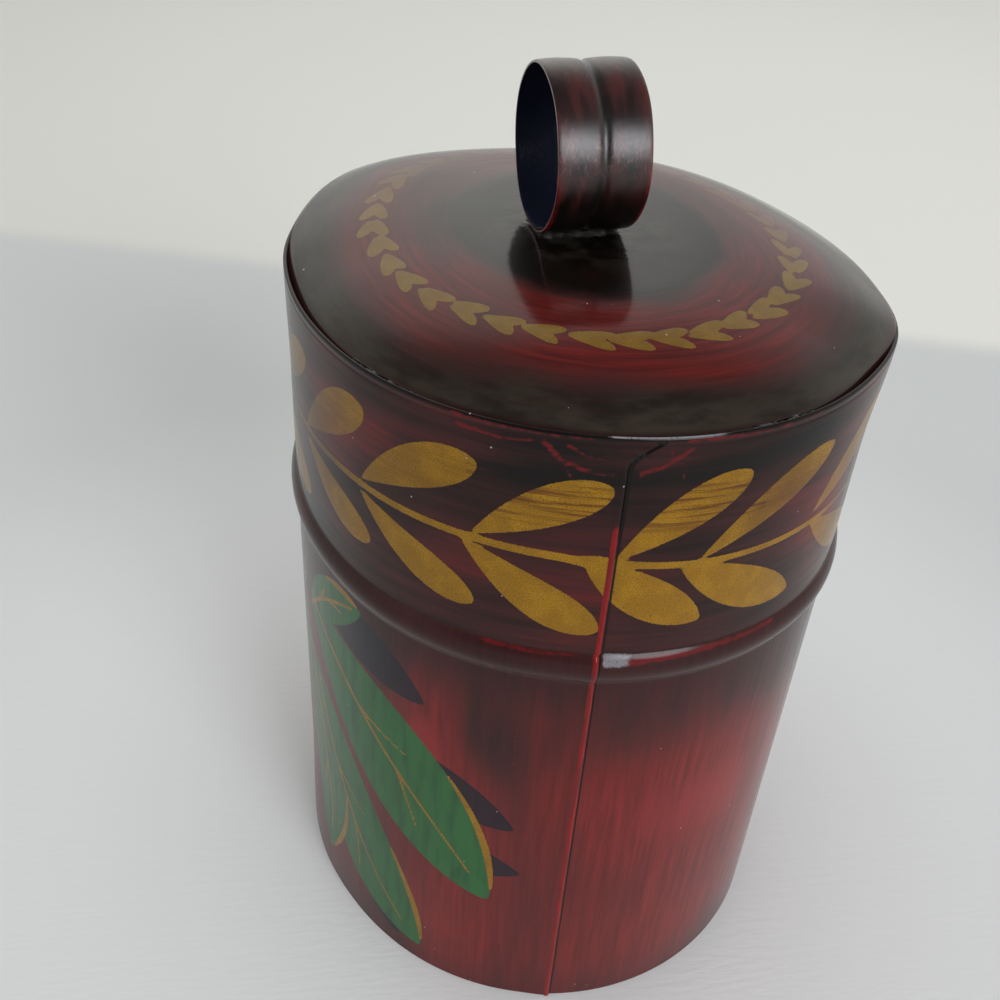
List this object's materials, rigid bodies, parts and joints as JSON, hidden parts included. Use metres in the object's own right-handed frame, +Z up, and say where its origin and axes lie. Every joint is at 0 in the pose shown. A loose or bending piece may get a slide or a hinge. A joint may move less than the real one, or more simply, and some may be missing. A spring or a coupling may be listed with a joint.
{
  "type": "oval tin box",
  "caption": "Oval tin box with a stop bead, a soldered inner collar and a deep domed lid that lifts off by a ring handle rolled from a strip.",
  "frame": {"origin": "on the standing plane, at the middle of the oval", "axes": "+Z up through the lid and its handle, X along the oval's length with the side seam near the +X end, Y across it"},
  "size_m": [0.1265, 0.1114, 0.1788],
  "materials": {
    "painted_tin": "dark crimson japanned tinplate with a brown-black glaze under clear gloss varnish, painted leaves in gold and green",
    "bare_tin": "dull unpainted tinplate, lightly spotted with age",
    "solder": "dull grey soft solder"
  },
  "bodies": {
    "body": {"body_wall": "painted_tin", "body_bottom": "bare_tin", "inner_collar": "bare_tin", "bottom_solder": "solder", "collar_solder": "solder", "side_seam_solder": "solder"},
    "lid": {"lid_band": "painted_tin", "lid_dome": "painted_tin", "lid_rim_solder": "solder", "lid_seam_solder": "solder", "ring_handle": "painted_tin", "handle_solder": "solder"}
  },
  "joints": [
    {"name": "lid_lift", "type": "slide", "parent": "body", "child": "lid", "axis": [0, 0, 1], "range_m": [0, 0.08]}
  ]
}
